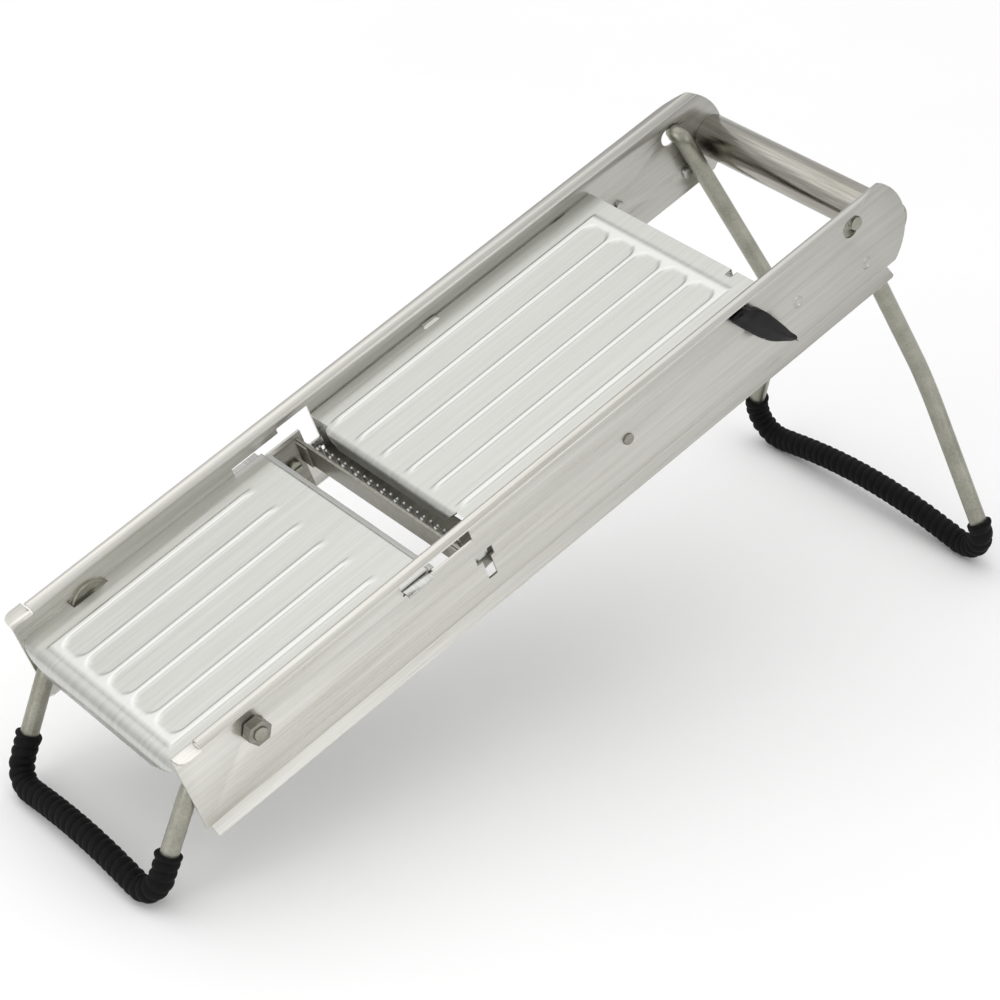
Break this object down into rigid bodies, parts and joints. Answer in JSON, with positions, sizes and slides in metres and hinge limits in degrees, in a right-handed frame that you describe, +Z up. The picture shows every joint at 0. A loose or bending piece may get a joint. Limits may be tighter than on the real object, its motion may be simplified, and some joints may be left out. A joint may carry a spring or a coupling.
{
  "type": "mandoline slicer",
  "caption": "Steel mandoline slicer: ribbed tables between two bent side plates, with a blade, lifting combs, a tube handle and folding wire legs.",
  "frame": {"origin": "centre of the footprint, on the surface the feet stand on", "axes": "+X along the slicer towards the raised handle end, +Y to the side away from the thickness lever, +Z up"},
  "size_m": [0.448, 0.162, 0.208],
  "materials": {
    "plate_steel": "satin bent sheet",
    "table_steel": "satin sheet with pressed ribs",
    "tube_steel": "ground tube",
    "rod_steel": "drawn rod",
    "blade_steel": "ground edge",
    "inner_steel": "satin",
    "screw_steel": "turned",
    "sleeve_rubber": "ribbed black sleeve",
    "lever_plastic": "moulded black plastic"
  },
  "bodies": {
    "frame": {"near_side_plate": "plate_steel", "far_side_plate": "plate_steel", "receiving_table": "table_steel", "handle_tube": "tube_steel", "front_pivot_washers": "inner_steel", "near_blade_rest": "inner_steel", "far_blade_rest": "inner_steel", "comb_bar": "inner_steel", "near_comb_bracket": "inner_steel", "far_comb_bracket": "inner_steel", "bracket_screws": "screw_steel", "guide_pins": "inner_steel"},
    "feed": {"feed_table": "table_steel", "near_runner": "inner_steel", "far_runner": "inner_steel"},
    "adjuster": {"adjuster_shaft": "inner_steel", "shaft_ring": "inner_steel", "near_crank": "inner_steel", "far_crank": "inner_steel", "thickness_lever": "lever_plastic"},
    "blade": {"slicing_blade": "blade_steel"},
    "coarse": {"coarse_comb": "blade_steel"},
    "fine": {"fine_comb": "blade_steel"},
    "front": {"front_leg": "rod_steel", "front_foot_sleeve": "sleeve_rubber", "front_pivot_nuts": "screw_steel"},
    "rear": {"rear_leg": "rod_steel", "rear_foot_sleeve": "sleeve_rubber"}
  },
  "joints": [
    {"name": "front_leg_fold", "type": "hinge", "parent": "frame", "child": "front", "pos_m": [-0.17321, 0, 0.07152], "axis": [0, -1, 0], "range_deg": [0, 113]},
    {"name": "rear_leg_fold", "type": "hinge", "parent": "frame", "child": "rear", "pos_m": [0.13933, 0, 0.1922], "axis": [0, 1, 0], "range_deg": [0, 75]},
    {"name": "feed_table_slide", "type": "slide", "parent": "frame", "child": "feed", "axis": [0.9857, 0, -0.1683], "range_m": [0, 0.01]},
    {"name": "lever_turn", "type": "hinge", "parent": "frame", "child": "adjuster", "pos_m": [0.08462, 0, 0.1614], "axis": [0, -1, 0], "range_deg": [0, 80]},
    {"name": "blade_slide", "type": "slide", "parent": "frame", "child": "blade", "axis": [0, -1, 0], "range_m": [0, 0.118]},
    {"name": "coarse_comb_lift", "type": "slide", "parent": "frame", "child": "coarse", "axis": [-0.3471, 0, 0.9378], "range_m": [0, 0.008]},
    {"name": "fine_comb_lift", "type": "slide", "parent": "frame", "child": "fine", "axis": [-0.3471, 0, 0.9378], "range_m": [0, 0.008]}
  ],
  "couplings": [
    {"joint": "lever_turn", "follows": "feed_table_slide", "rad_per_m": 139.63}
  ]
}
